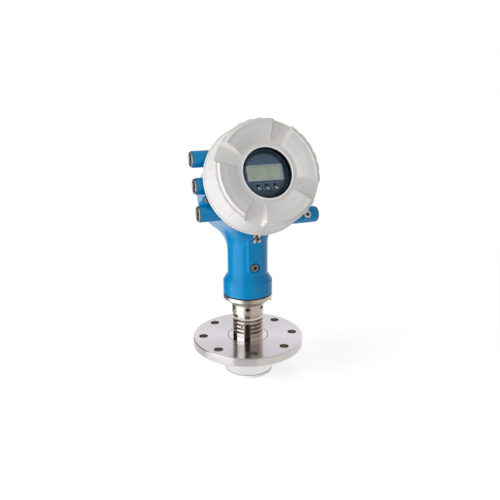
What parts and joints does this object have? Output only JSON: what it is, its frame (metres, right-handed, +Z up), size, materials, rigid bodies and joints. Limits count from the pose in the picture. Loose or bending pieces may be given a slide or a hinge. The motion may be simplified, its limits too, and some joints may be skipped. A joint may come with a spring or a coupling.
{
  "type": "radar level transmitter",
  "caption": "Radar level transmitter with a tilted round housing, screw-on window cover, grooved steel neck, bolted flange and a lens antenna below.",
  "frame": {"origin": "centre of the bolt circle on the underside of the flange plate, 3 mm above the sealing face, on the neck axis", "axes": "+Z up along the neck axis, away from the antenna; the display faces -Y and leans back; the row of cable entries with the lock screw is on -X"},
  "size_m": [0.2279, 0.2671, 0.5245],
  "materials": {
    "flange_steel": "turned and polished stainless steel",
    "neck_steel": "polished stainless steel",
    "adapter_steel": "turned stainless steel",
    "screw_steel": "stainless socket screws",
    "seal_rubber": "dark moulded rubber",
    "spring_steel": "spring steel",
    "guide_steel": "drawn steel tube",
    "module_can": "plain aluminium can",
    "horn_steel": "turned stainless steel",
    "lens_ptfe": "white PTFE",
    "blue_paint": "blue powder coat on die-cast aluminium",
    "plug_steel": "stainless steel plugs",
    "washer_rubber": "fibre washers",
    "clamp_steel": "bright pressed steel",
    "black_plastic": "black moulded plastic",
    "slate_plastic": "slate blue film",
    "frame_plastic": "grey moulded frame",
    "screen_green": "blank grey-green display",
    "key_film": "printed key fields",
    "circuit_board": "solder resist",
    "carrier_plastic": "grey moulded plastic",
    "terminal_plastic": "green terminal moulding",
    "potting": "black potted module",
    "grey_paint": "light grey powder coat on die-cast aluminium",
    "window_glass": "toughened glass",
    "retainer_alu": "turned aluminium"
  },
  "bodies": {
    "base": {"flange": "flange_steel", "neck": "neck_steel", "adapter": "adapter_steel", "set_screws": "screw_steel", "bell_seal": "seal_rubber", "swivel_seal": "seal_rubber", "retaining_ring": "spring_steel", "waveguide": "guide_steel", "radar_module": "module_can", "horn": "horn_steel", "lens": "lens_ptfe", "lens_seal": "seal_rubber"},
    "head": {"housing": "blue_paint", "entry_plugs": "plug_steel", "plug_washers": "washer_rubber", "lock_screw": "screw_steel", "earth_screw": "screw_steel", "pad_screw": "screw_steel", "clamp_plate": "clamp_steel", "clamp_screw": "screw_steel", "display_case": "black_plastic", "face_plate": "slate_plastic", "screen_frame": "frame_plastic", "screen_panel": "screen_green", "touch_keys": "key_film", "display_board": "circuit_board", "carrier": "carrier_plastic", "carrier_screws": "screw_steel", "main_board": "circuit_board", "terminal_block": "terminal_plastic", "terminal_screws": "screw_steel", "power_module": "potting", "power_screws": "screw_steel"},
    "front_seal_ring": {"front_cover_seal": "seal_rubber"},
    "front_lid": {"front_cover": "grey_paint", "window_glass": "window_glass", "glass_seal": "seal_rubber", "glass_retainer": "retainer_alu"},
    "rear_seal_ring": {"rear_cover_seal": "seal_rubber"},
    "rear_lid": {"rear_cover": "grey_paint"}
  },
  "joints": [
    {"name": "housing_swivel", "type": "hinge", "parent": "base", "child": "head", "pos_m": [0, 0, 0.1102], "axis": [0, 0, 1], "range_deg": [-175, 175]},
    {"name": "front_cover_lift", "type": "slide", "parent": "head", "child": "front_seal_ring", "axis": [0, -0.9205, 0.3907], "range_m": [0, 0.0122]},
    {"name": "front_cover_turn", "type": "hinge", "parent": "front_seal_ring", "child": "front_lid", "pos_m": [0, 0, 0.3187], "axis": [0, -0.9205, 0.3907], "range_deg": [0, 2160]},
    {"name": "rear_cover_lift", "type": "slide", "parent": "head", "child": "rear_seal_ring", "axis": [0, 0.9205, -0.3907], "range_m": [0, 0.0122]},
    {"name": "rear_cover_turn", "type": "hinge", "parent": "rear_seal_ring", "child": "rear_lid", "pos_m": [0, 0, 0.3187], "axis": [0, 0.9205, -0.3907], "range_deg": [0, 2160]}
  ],
  "couplings": [
    {"joint": "front_cover_lift", "follows": "front_cover_turn", "m_per_rad": 0.00031831},
    {"joint": "rear_cover_lift", "follows": "rear_cover_turn", "m_per_rad": 0.00031831}
  ]
}
